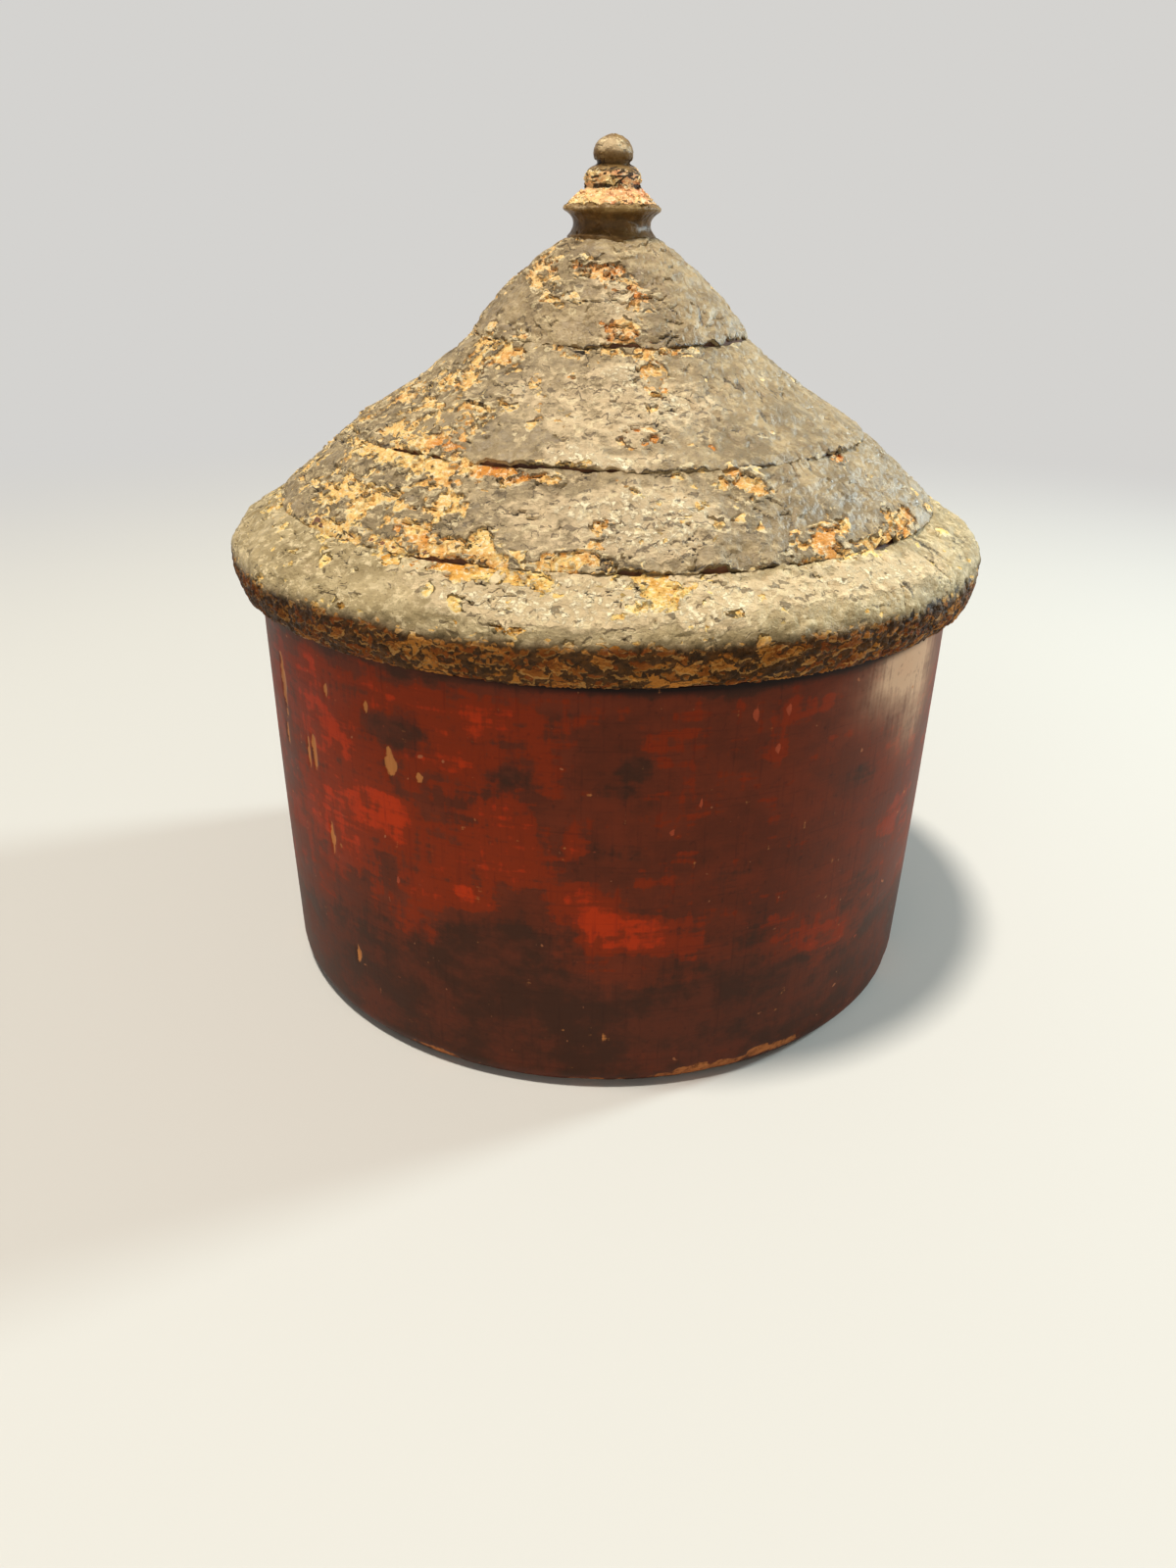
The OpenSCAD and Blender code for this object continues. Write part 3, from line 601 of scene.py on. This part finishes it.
def gaping(coat, step, cracks):
    """How far the crack along a step gapes at each azimuth, from 0 to 1. Cracks are azimuths in degrees and
    widths in mm."""
    circle = [(7 * math.cos(a), 7 * math.sin(a), 900 * step) for a in coat.azimuth]
    total = np.array([0.7 * noise.noise(place) for place in circle])
    for azimuth, width in cracks:
        turn = (coat.azimuth - math.radians(azimuth) + math.pi) % math.tau - math.pi
        total += 1.2 * np.exp(-((2 * turn * step / (width * mm)) ** 2))
    return smooth(total, 0.25, 0.7)


crust_t = 1.4 * mm
deepest = crust_t - 0.06 * mm


def flake(
    coat, spots, seed, foot_gap, top_gap,
    base=0.25, size=5.2 * mm, depth=0.7 * mm, lips=(0, 0), left_wear=0.38,
):
    """Loses paint in flakes round the spots and along the coat's edges, and cracks what is left. Spots hold
    a hue after the amount: 0 for a pale yellow ground and 1 for deep orange. Lips are how far the lower edge
    stands proud and the upper edge lies back. Returns relief and masks."""
    bare = coat.spots([spot[:5] for spot in spots])
    hues = coat.spots([(*spot[:4], spot[4] * spot[5]) for spot in spots])
    top = coat.along[-1] - coat.along[:, None]
    foot = coat.along[:, None]
    broad = coat.mottle(24 * mm, 2, seed)
    edge = np.exp(-top / (2.0 * mm)) * (0.3 + 0.6 * broad)
    edge += np.exp(-foot / (0.9 * mm)) * (0.25 - 0.5 * broad)
    left = smooth(-coat.azimuth, 0.2, 0.7) * smooth(coat.azimuth, -2.2, -1.4)
    right = smooth(coat.azimuth, 0.35, 0.7) * smooth(-coat.azimuth, -2.0, -1.4)
    patchy = 0.45 * coat.mottle(8 * mm, 3, seed + 1)
    odds = 0.8 * bare + edge + left_wear * left - 0.15 * right + 0.3 * broad + patchy - base
    chance, chance_small = (coat.cells(part * size, 1.9, part * mm, seed + 3)[1] for part in (1.0, 0.52))
    lost = (chance < np.clip(1.2 * odds - 0.3, 0, 0.8)) & (chance_small < 0.85)
    lost |= chance_small < np.clip(0.9 * odds - 0.1, 0, 0.6)
    # Lip: the upper edge of each loss, grooved in the relief and darkened through the gap mask as painted
    # shadow.
    lip = lost & np.roll(~lost, -1, axis=0) & (coat.mottle(5 * mm, 2, seed + 5) > 0)
    lip[-2:] = False
    plate, tilt = coat.cells(5.5 * mm, 2.0, 1.5 * mm, seed + 6)[1:]
    split = smooth(coat.mottle(14 * mm, 2, seed + 7), -0.2, 0.1) * (1 - 0.35 * right)
    border = np.roll(plate, -1, axis=0) != plate
    crack = split * border * smooth(coat.mottle(7 * mm, 2, seed + 14), -0.1, 0.1)
    creases = np.abs(coat.streaks(2.6 * mm, 22 * mm, seed + 13))
    crease = right * smooth(creases, 0.09, 0.04) * smooth(coat.mottle(9 * mm, 2, seed + 15), 0.0, 0.2)
    crack = np.maximum(crack, 0.8 * crease)
    curl = np.clip(soften(lost, 3), 0, 0.5) * ~lost
    paint = 0.5 * mm * coat.mottle(14 * mm, 2, seed + 8)
    paint += 0.6 * mm * coat.mottle(4 * mm, 3, seed + 9, (2, 2, 1))
    paint += 0.3 * mm * coat.mottle(1.7 * mm, 2, seed + 10) - 0.5 * mm
    paint += split * (0.3 * mm * (plate - 0.5) + 0.5 * mm * tilt)
    paint += 0.25 * mm * right * np.minimum(creases, 0.3)
    paint += (1 - 0.7 * left) * (lips[0] * np.exp(-foot / (1.8 * mm)) - lips[1] * np.exp(-top / (1.8 * mm)))
    ground = 0.15 * mm * coat.mottle(2 * mm, 2, seed + 11) - depth
    relief = np.where(lost, 0.6 * paint + ground, paint + 0.6 * mm * curl)
    relief -= 0.3 * mm * lip + 0.3 * mm * crack
    opening = 0.4 * mm * foot_gap * np.exp(-foot / (0.5 * mm))
    relief -= opening + 0.3 * mm * top_gap * np.exp(-top / (0.6 * mm))
    hue = np.clip(hues / np.maximum(bare, 0.15), 0, 1) + 0.3 * coat.mottle(18 * mm, 2, seed + 12)
    gap = np.maximum(0.7 * lip, 0.75 * crack)
    if lips[0]:
        line = np.exp(-foot / (0.45 * mm)) * smooth(coat.mottle(9 * mm, 2, seed + 16), -0.25, 0.2)
        gap = np.maximum(gap, 0.7 * line * (1 - 0.9 * left))
    masks = {"lost": 0.5 * lost + 0.5 * soften(lost, 1), "gap": gap, "hue": hue}
    masks["wear"] = np.clip(0.9 * odds + 0.1, 0, 0.8)
    return np.clip(relief, -deepest, 0), masks


def scuffed(coat, relief, masks, spots, depth, seed):
    """Scuffs the paint at the spots: sets its mask and returns the relief, roughened there by depth."""
    masks["scuff"] = coat.spots(spots)
    return np.clip(relief + depth * masks["scuff"] * coat.mottle(1.4 * mm, 1, seed), -deepest, 0)


def painted(name, coat, relief, masks, finish, node):
    """Builds a coat of paint, gives it its finish and hangs it on the lid."""
    piece = coat.build(name, crust_t, relief, masks)
    piece.data.materials.append(finish)
    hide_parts(node)
    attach(piece, "lid")


scale_effect = broken_scales()
paint_effect = flaked_paint()
low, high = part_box("rim_crust")
rim_r = high.x
rim_side = 9.8 * mm
rim_round = 8 * mm
rim_tuck = 3.8 * mm
widest_z = low.z + rim_side
rim_step_r = rim_r - 13.5 * mm
rim_step_z = high.z
rim = Coat(
    bend((rim_r - rim_tuck, widest_z), rim_tuck, rim_side, -90, 0)[:-1]
    + bend((rim_r - rim_round, widest_z), rim_round, rim_round, 0, 60)
    + [(rim_step_r, rim_step_z)],
    0.5 * mm,
)
rim_spots = [
    (-67, 129, 30, 5, 0.8, 0.2), (-50, 127, 8, 3, 1.0, 0.3), (-21, 130, 24, 6, 1.3, 0.7),
    (-12, 129, 22, 6, 1.1, 0.2), (6, 129, 18, 7, 1.3, 0.3), (-20, 126.5, 10, 6, 0.5, 0.1),
    (9, 126.5, 16, 6, 0.6, 0.1), (16, 124.5, 7, 4, 0.7, 0.7), (42, 130, 30, 5, 0.6, 0.3),
    (-34, 121, 3.5, 2.5, 1.0, 0.6), (-12, 121.5, 25, 2, 0.7, 0.7), (100, 128, 30, 5, 0.8, 0.3),
    (150, 126, 24, 6, 0.7, 0.4), (-100, 128, 30, 6, 0.8, 0.2), (-150, 127, 30, 6, 0.8, 0.5),
]
rim_scuffs = [
    (-6, 126, 26, 7, 1.6), (13, 124.5, 10, 5, 1.8), (-20, 126.5, 10, 6, 0.6), (42, 127, 48, 10, 1.4),
    (0, 127, 74, 14, 1.7), (-45, 126, 24, 6, 0.3), (90, 126, 30, 6, 0.6), (-110, 126, 30, 6, 0.6),
    (180, 126, 40, 6, 0.6),
]
rim_cracks = [(-24, 12), (4, 9), (16, 6), (48, 8), (100, 30), (-110, 40), (170, 30)]
top_gap = gaping(rim, rim_step_r, rim_cracks)
relief, masks = flake(rim, rim_spots, 20, 0, top_gap, base=0.22, lips=(0, 0.4 * mm), left_wear=0.14)
drift = 1.3 * mm * rim.mottle(9 * mm, 3, 31)
# Under: the rim below its widest line, crazed there and darkened as painted shade.
under = smooth(drift - rim.height[:, None], -widest_z - 3.2 * mm, -widest_z + 1.2 * mm)
craze = rim.cells(2.2 * mm, 1.15, 0.9 * mm, 32)[0]
upright = rim.cells(3.2 * mm, 0.32, 0.8 * mm, 33)[0]
right = smooth(rim.azimuth[None, :], math.radians(24), math.radians(46))
left = smooth(-rim.azimuth[None, :], math.radians(20), math.radians(42))
veins = under * smooth(craze, 0.2, 0.05)
splits = right * smooth(upright, 0.16, 0.05) * smooth(rim.height[:, None], widest_z + 5 * mm, widest_z)
masks["lost"] = masks["lost"] * (1 - under)
masks["wear"] = np.maximum(masks["wear"], 0.11 + 0.12 * rim.mottle(12 * mm, 2, 38))
masks["gap"] = np.maximum(masks["gap"] * (1 - under), np.maximum(0.8 * splits, 0.5 * under * left))
hue_below = 0.45 + 0.1 * right + 0.2 * left + 0.6 * rim.mottle(10 * mm, 2, 36)
masks["hue"] = masks["hue"] * (1 - under) + under * hue_below
masks["shade"] = under
relief = relief * (1 - 0.5 * under) - 0.35 * mm * veins - 0.3 * mm * splits
relief = scuffed(rim, relief, masks, rim_scuffs, 0.15 * mm, 37)
finish = flaky_finish(
    "rim paint", paint=(190, 169, 126), dark=(138, 120, 83), pale=(246, 225, 180),
    ground=(252, 217, 136), deep=(232, 160, 60), shine=0.12,
)
painted("rim_paint", rim, relief, masks, finish, "rim_crust")


# Lower tier: the same ground and paint, wiped on thick from the rim's step up to the next. It has come away
# most at the left and below the step above it, and is scuffed pale in front.
step_h = 0.9 * mm


def bridge(coat, gap, seed):
    """Brings the coat's lower edge down over the step wherever the crack along it is closed."""
    coat.sag((step_h + 0.3 * mm) * (1 - gap) + 0.8 * mm * coat.mottle(2.4 * mm, 3, seed)[0])


mid_step_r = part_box("upper_tier_crust")[1].x
mid_step_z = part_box("lower_tier_crust")[1].z
lower_tier = Coat(curve((rim_step_r, rim_step_z + step_h), (mid_step_r, mid_step_z), 0.3 * mm), 0.42 * mm)
lower_spots = [
    (-61, 146.5, 30, 4, 0.8, 0.2), (-41, 147, 20, 4, 1.0, 0.2), (-29, 145, 10, 7, 1.0, 0.4),
    (-21, 147, 8, 2.5, 0.9, 0.8), (-11, 146, 16, 3, 1.0, 0.6), (0, 146.5, 5, 3, 0.9, 0.6),
    (-58, 138, 36, 8, 0.6, 0.2), (-43, 139, 16, 8, 0.6, 0.3), (-27, 140.5, 11, 8, 0.9, 0.3),
    (-29, 135, 12, 5, 1.0, 0.7), (-22, 132.5, 24, 5, 1.1, 0.6), (-49, 132.5, 22, 4, 0.8, 0.3),
    (-19, 135.5, 7, 6, 0.7, 0.4), (-4, 141.5, 5, 5, 0.6, 0.7), (-1, 137.5, 5, 8, 1.0, 0.5),
    (-4, 133.5, 14, 4, 1.1, 0.4), (26, 145, 8, 8, 0.8, 0.4), (53, 147, 6, 3, 0.8, 0.8),
    (40, 140, 7, 6, 0.6, 0.4), (39, 136, 14, 7, 0.8, 0.4), (33, 134, 13, 8, 1.2, 0.5),
    (57, 134, 20, 7, 1.3, 0.5), (44, 132.5, 20, 3, 1.0, 0.4), (90, 140, 24, 10, 0.6, 0.4),
    (130, 136, 30, 8, 0.8, 0.3), (165, 143, 26, 8, 0.8, 0.5), (-95, 142, 30, 10, 0.8, 0.3),
    (-130, 137, 30, 9, 0.7, 0.4), (-165, 141, 24, 8, 0.7, 0.3),
]
lower_scuffs = [
    (7, 140.5, 20, 10, 2.0), (7, 136, 15, 6, 1.6), (-2, 140, 56, 24, 0.85), (140, 142, 24, 10, 0.8),
]
mid_cracks = [(-41, 20), (-21, 9), (-11, 18), (0, 8), (53, 8), (110, 20), (-100, 24), (-160, 20), (165, 16)]
foot_gap = gaping(lower_tier, rim_step_r, rim_cracks)
top_gap = gaping(lower_tier, mid_step_r, mid_cracks)
bridge(lower_tier, foot_gap, 61)
relief, masks = flake(lower_tier, lower_spots, 50, foot_gap, top_gap, base=0.12, lips=(0.4 * mm, 0.4 * mm))
relief = scuffed(lower_tier, relief, masks, lower_scuffs, 0.2 * mm, 62)
finish = flaky_finish(
    "lower tier paint", paint=(160, 138, 100), dark=(106, 90, 61), pale=(220, 195, 148),
    ground=(248, 210, 132), deep=(225, 148, 58),
)
painted("lower_tier_paint", lower_tier, relief, masks, finish, "lower_tier_crust")


# Upper tier: the same ground and paint on the hollow cone above, with finer flakes at the left, a string of
# them down the front, and a smoother right side with creases that run up the slope.
crown_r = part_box("crown_crust")[1].x
crown_step_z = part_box("upper_tier_crust")[1].z
upper_tier = Coat(curve((mid_step_r, mid_step_z + step_h), (crown_r, crown_step_z), -1.2 * mm), 0.44 * mm)
upper_spots = [
    (25, 169.5, 7, 4, 0.9, 0.6), (-35, 166, 10, 6, 0.7, 0.6), (-22, 169, 6, 2.5, 0.7, 0.5),
    (-22, 163, 4, 5, 0.9, 0.4), (-11, 163.5, 4, 5, 0.9, 0.4), (14, 165, 8, 15, 1.1, 0.6),
    (-40, 153, 16, 10, 1.0, 0.2), (-47, 161, 15, 13, 0.4, 0.2), (-18, 156, 6, 5, 0.8, 0.3),
    (-26, 156, 20, 12, 0.3, 0.3), (9, 153, 10, 6, 0.6, 0.8), (41, 153.5, 6, 5, 0.9, 0.3),
    (22, 151.5, 6, 4, 0.7, 0.8), (-52, 151, 14, 7, 0.6, 0.2), (-36, 150.5, 11, 4, 0.8, 0.6),
    (-75, 156, 14, 14, 0.5, 0.2), (95, 157, 18, 12, 0.7, 0.4), (140, 154, 18, 12, 0.8, 0.3),
    (180, 160, 16, 14, 0.8, 0.5), (-110, 154, 20, 12, 0.8, 0.3), (-150, 158, 18, 12, 0.7, 0.4),
]
upper_scuffs = [
    (5, 164, 9, 7, 1.0), (-25, 162, 6, 10, 0.6), (20, 158.5, 13, 8, 0.9), (-8, 150.5, 9, 5, 1.2),
    (2, 149.5, 17, 4, 1.2), (0, 158, 50, 34, 0.85),
]
crown_cracks = [(64, 26), (7, 8), (120, 14), (-130, 16)]
foot_gap = gaping(upper_tier, mid_step_r, mid_cracks)
top_gap = gaping(upper_tier, crown_r, crown_cracks)
bridge(upper_tier, foot_gap, 91)
relief, masks = flake(
    upper_tier, upper_spots, 80, foot_gap, top_gap, base=0.16, size=4.8 * mm, lips=(0.4 * mm, 0.3 * mm)
)
relief = scuffed(upper_tier, relief, masks, upper_scuffs, 0.2 * mm, 92)
finish = flaky_finish(
    "upper tier paint", paint=(166, 143, 104), dark=(110, 94, 65), pale=(224, 199, 152),
    ground=(248, 209, 133), deep=(222, 142, 56),
)
painted("upper_tier_paint", upper_tier, relief, masks, finish, "upper_tier_crust")


# Crown: the same ground and paint on the swelling top of the cone, up to the knob's foot. Most of it is
# whole, with flakes down the front under the knob and a few more at the left.
crown_top_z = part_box("crown_crust")[1].z
crown_top_r = 11.8 * mm
crown_hole_r = 11.25 * mm
crown = Coat(
    curve((crown_r, crown_step_z + step_h), (crown_top_r, crown_top_z - 0.05 * mm), 1.6 * mm)
    + [(crown_hole_r, crown_top_z)],
    0.31 * mm,
)
crown_spots = [
    (-51, 185, 14, 7, 1.0, 0.3), (15, 189.5, 10, 6, 1.1, 0.6), (-2, 185, 12, 9, 1.2, 0.5),
    (16, 180.5, 8, 6, 1.1, 0.7), (11, 177, 8, 6, 1.0, 0.3), (7, 173.5, 13, 5, 1.2, 0.8),
    (100, 182, 12, 8, 0.8, 0.4), (160, 177, 12, 8, 0.8, 0.5), (-120, 178, 14, 9, 0.8, 0.4),
    (-165, 186, 10, 7, 0.8, 0.6),
]
crown_scuffs = [
    (6, 178.5, 12, 9, 1.3), (-6, 183.5, 10, 6, 0.6), (-22, 177, 14, 8, 0.2), (2, 172.5, 16, 5, 0.8),
]
foot_gap = gaping(crown, crown_r, crown_cracks)
bridge(crown, foot_gap, 121)
relief, masks = flake(crown, crown_spots, 110, foot_gap, 0, base=0.24, size=4.0 * mm, lips=(0.3 * mm, 0))
masks["scuff"] = crown.spots(crown_scuffs)
finish = flaky_finish(
    "crown paint", paint=(169, 144, 103), dark=(110, 92, 63), pale=(222, 198, 152),
    ground=(248, 210, 140), deep=(220, 138, 58),
)
painted("crown_paint", crown, relief, masks, finish, "crown_crust")


# Finial: a knob turned from one piece of wood, with a tenon glued into the crown. Paint covers all of it
# that shows. The modelled piece is kept and only its finish is made here.
finish_node("finial", bare_wood("finial wood", colour(150, 98, 60), colour(78, 46, 28)))


# Finial's paint: ground and dark varnished paint on the knob. It is whole and glossy on the ball, the edge
# of the collar and the waist, broken into flakes on the bead and gone from most of the collar's slope.
low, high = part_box("finial_crust")
knob_paint_t = 0.6 * mm
collar_r = high.x - 0.3 * mm
collar_edge = 1.2 * mm
knob_foot_r = collar_r - 0.8 * mm
knob_foot_h = 1.6 * mm
bead_r = 6.9 * mm
throat_r = 4.4 * mm
ball_r = 5 * mm
ball_half = 4.27 * mm
ball_turn = 28.36
collar_z = low.z + 7 * mm
bead_z = collar_z + 5.6 * mm
throat_z = bead_z + 5.1 * mm
ball_z = high.z - ball_half
knob = Coat(
    [(knob_foot_r, low.z)]
    + curve((knob_foot_r, low.z + knob_foot_h), (collar_r, collar_z), -1.9 * mm)
    + curve((collar_r, collar_z), (collar_r, collar_z + collar_edge), 0.3 * mm)[1:]
    + curve((bead_r, bead_z), (throat_r, throat_z), 1.5 * mm)
    + bend((0, ball_z), ball_r, ball_half, -ball_turn, 90)[1:],
    0.2 * mm,
)
slope_spots = [
    (-30, 202, 24, 9, 2.2, 0.05), (30, 202, 20, 9, 2.2, 0.9), (80, 202, 16, 8, 1.6, 0.5),
    (140, 202, 16, 8, 1.8, 0.3), (-90, 202, 16, 8, 1.6, 0.3), (-150, 202, 16, 8, 1.6, 0.4),
]
bead_spots = [
    (-32, 205, 8, 2.6, 1.6, 0.05), (110, 207, 8, 3, 1.0, 0.4), (170, 205, 9, 3, 1.0, 0.3),
    (-130, 206.5, 8, 3, 1.0, 0.4),
]
knob_scuffs = [
    (-30, 212.6, 8, 4, 0.8), (25, 212, 4, 4, 0.6), (-40, 198.6, 8, 2, 0.6), (0, 207.4, 16, 2, 0.3),
]
relief, masks = flake(knob, slope_spots + bead_spots, 140, 0, 0, base=0.4, size=2.4 * mm, depth=0.5 * mm)
level = knob.height[:, None]
whole = smooth(level, throat_z - 0.3 * mm, throat_z + 0.6 * mm)
masks["gap"] = masks["gap"] * (1 - whole)
masks["lost"] = masks["lost"] * (1 - 0.8 * whole)
masks["wear"] = masks["wear"] * (1 - 0.7 * whole)
ragged = level + 0.7 * mm * knob.mottle(3 * mm, 2, 172)
edging = smooth(ragged, collar_z + 2.4 * mm, collar_z + 1.7 * mm)
for label in ("lost", "wear", "gap"):
    masks[label] = masks[label] * (1 - edging)
slope = smooth(level, bead_z, bead_z - 0.8 * mm)
masks["gap"] = masks["gap"] * (1 - 0.85 * slope)
stripped = smooth(knob.spots([spot[:5] for spot in slope_spots]), 0.9, 1.3) * slope * (1 - edging)
for label, amount in (("lost", 1.0), ("wear", 0.8)):
    masks[label] = np.maximum(masks[label], amount * stripped)
ring = knob.cells(6 * mm, 3.2, 1.6 * mm, 160)[1]
border = np.roll(ring, -1, axis=0) != ring
broken = smooth(level, bead_z - 5 * mm, bead_z - 3 * mm) * smooth(level, throat_z + mm, throat_z)
rift = broken * border * (knob.mottle(4 * mm, 2, 171) > 0.25 * slope + 0.12) * (1 - edging)
rift = smooth(soften(rift, 1), 0.05, 0.35)
masks["gap"] = np.maximum(masks["gap"], rift)
seat = np.exp(-(((level - bead_z) / (0.4 * mm)) ** 2)) * smooth(knob.mottle(5 * mm, 2, 170), -0.15, 0.1)
masks["gap"] = np.maximum(masks["gap"], 0.9 * seat)
# Painted shade: darker on the waist under the collar's edge and on the lower part of the ball.
waist = smooth(level, collar_z + 0.3 * mm, collar_z - 0.8 * mm)
waist = waist * smooth(level, low.z - 2 * mm, low.z + 4 * mm)
under_ball = smooth(level, ball_z + 1.5 * mm, ball_z - 2.5 * mm) * smooth(level, throat_z - mm, throat_z)
masks["shade"] = np.maximum(0.75 * waist, 0.7 * under_ball) * np.ones(relief.shape)
masks["scuff"] = knob.spots(knob_scuffs)
taper = smooth(level, bead_z + 1.8 * mm, bead_z + 4.2 * mm) * (1 - whole)
relief = (0.3 + 0.5 * broken) * relief - 0.2 * mm * rift - 0.4 * mm * taper
relief = np.clip(relief, 0.05 * mm - knob_paint_t, 0)
piece = knob.build("finial_paint", knob_paint_t, relief, masks)
finish = flaky_finish(
    "finial paint", paint=(142, 110, 64), dark=(84, 60, 31), pale=(202, 172, 118), ground=(252, 218, 148),
    deep=(222, 142, 100), crazed=0.0, dull=0.75, depth=0.4 * mm, shine=0.12,
)
piece.data.materials.append(finish)
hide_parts("finial_crust")
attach(piece, "lid")


# Floor, light and camera: a pale floor under one lamp high overhead, a faint one in front and a cool one at
# the right. The camera stands where the photograph was taken from, close to the box and level with its lid.
def backdrop_rays(tree):
    """1 for rays that show the backdrop: straight, in a reflection or through something clear."""
    path = add(tree, "LightPath")
    seen = sums(tree, "MAXIMUM", path.outputs["Is Camera Ray"], path.outputs["Is Glossy Ray"])
    return sums(tree, "MAXIMUM", seen, path.outputs["Is Transmission Ray"])


bpy.ops.mesh.primitive_plane_add(size=30)
floor = bpy.context.object
floor.name = "floor"
finish, tree = material("pale floor")
backdrop = (0.66, 0.65, 0.63, 1.0)
shader = add(tree, "BsdfPrincipled", {"Base Color": colour(204, 201, 194), "Roughness": 0.8})
glow = add(tree, "Emission", {"Color": backdrop})
where = add(tree, "TexCoord").outputs["Object"]
distance = add(tree, "VectorMath", {0: where}, operation="LENGTH").outputs["Value"]
far = times(tree, ease(tree, distance, 0.3, 0.95), backdrop_rays(tree))
blend = add(tree, "MixShader", {0: far, 1: shader.outputs["BSDF"], 2: glow.outputs["Emission"]})
tree.links.new(blend.outputs["Shader"], tree.nodes["Material Output"].inputs["Surface"])
floor.data.materials.append(finish)

world = bpy.data.worlds.new("studio")
world.use_nodes = True
tree = world.node_tree
soft_light = (0.2, 0.194, 0.186, 1.0)
shown = mix(tree, backdrop_rays(tree), soft_light, backdrop)
tree.links.new(shown, tree.nodes["Background"].inputs["Color"])
bpy.context.scene.world = world


def lamp(name, place, size, power, tint):
    """A round soft lamp, turned to the middle of the box."""
    light = bpy.data.lights.new(name, "AREA")
    light.shape = "DISK"
    light.size = size
    light.energy = power
    light.color = tint
    made = bpy.data.objects.new(name, light)
    made.location = place
    made.rotation_euler = (box_middle - Vector(place)).to_track_quat("-Z", "Y").to_euler()
    bpy.context.scene.collection.objects.link(made)


box_middle = Vector((0, 0, 0.1))
lamp("key", (-0.4, -0.35, 2.6), 0.3, 68.0, (1.0, 0.95, 0.87))
lamp("front", (-0.5, -1.2, 0.6), 0.8, 2.6, (1.0, 0.95, 0.88))
lamp("side", (1.6, 0.672, 0.74), 0.3, 30.0, (0.78, 0.95, 1.0))

lens = bpy.data.cameras.new("camera")
lens.lens = 26.2
camera = bpy.data.objects.new("camera", lens)
stand = Matrix.Translation((0, -0.3162, 0.1937))
pan = Matrix.Rotation(0.0112, 4, "Z")
tilt = Matrix.Rotation(math.pi / 2 - 0.452, 4, "X")
roll = Matrix.Rotation(0.017, 4, "Z")
camera.matrix_world = stand @ pan @ tilt @ roll
bpy.context.scene.collection.objects.link(camera)
bpy.context.scene.camera = camera
bpy.context.scene.view_settings.view_transform = "Standard"
